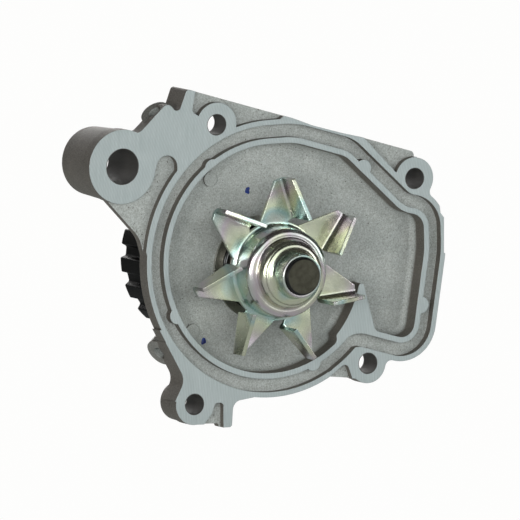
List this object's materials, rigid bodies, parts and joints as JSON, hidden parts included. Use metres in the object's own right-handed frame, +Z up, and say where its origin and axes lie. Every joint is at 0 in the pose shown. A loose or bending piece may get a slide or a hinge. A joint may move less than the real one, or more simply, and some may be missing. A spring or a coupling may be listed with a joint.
{
  "type": "water pump",
  "caption": "Engine coolant pump: cast housing with volute and mounting ears, pressed steel vane impeller, mechanical seal, integral bearing and shaft, and a toothed belt pulley behind.",
  "frame": {"origin": "on the shaft axis, in the plane of the milled mounting face", "axes": "+Y along the shaft from the impeller to the pulley, +Z up as pictured, +X towards the outlet lobe, right as seen from the impeller side"},
  "size_m": [0.1297, 0.0771, 0.1101],
  "materials": {
    "cast_aluminium": "sand-grey die casting, milled on the mounting face",
    "bearing_steel": "ground",
    "seal_rubber": "matt",
    "insert_steel": "pressed",
    "ball_steel": "polished",
    "cage_nylon": "moulded",
    "cup_steel": "drawn stainless sheet",
    "spring_steel": "drawn wire",
    "carbon": null,
    "ceramic": null,
    "shaft_steel": "ground, darkened on its front end",
    "zinc_plate": "bright zinc with a blue and yellow passivated sheen",
    "black_sinter": "steam-blackened sintered steel"
  },
  "bodies": {
    "housing": {"pump_housing": "cast_aluminium", "bearing_outer_ring": "bearing_steel", "front_lip_seal": "seal_rubber", "front_seal_insert": "insert_steel", "rear_lip_seal": "seal_rubber", "rear_seal_insert": "insert_steel", "seal_cup": "cup_steel", "seal_bellows": "seal_rubber", "seal_spring": "spring_steel", "seal_ferrule": "cup_steel", "seal_carbon_ring": "carbon"},
    "rotor": {"pump_shaft": "shaft_steel", "impeller": "zinc_plate", "timing_pulley": "black_sinter", "seal_mating_ring": "ceramic", "mating_ring_gasket": "seal_rubber", "shaft_slinger": "seal_rubber"},
    "front_ball_row": {"front_balls": "ball_steel", "front_ball_cage": "cage_nylon"},
    "rear_ball_row": {"rear_balls": "ball_steel", "rear_ball_cage": "cage_nylon"}
  },
  "joints": [
    {"name": "shaft_spin", "type": "hinge", "parent": "housing", "child": "rotor", "pos_m": [0, 0, 0], "axis": [0, 1, 0], "continuous": true},
    {"name": "front_row_spin", "type": "hinge", "parent": "housing", "child": "front_ball_row", "pos_m": [0, 0.0276, 0], "axis": [0, 1, 0], "continuous": true},
    {"name": "rear_row_spin", "type": "hinge", "parent": "housing", "child": "rear_ball_row", "pos_m": [0, 0.0389, 0], "axis": [0, 1, 0], "continuous": true}
  ],
  "couplings": [
    {"joint": "front_row_spin", "follows": "shaft_spin", "ratio": 0.3677},
    {"joint": "rear_row_spin", "follows": "shaft_spin", "ratio": 0.3677}
  ]
}
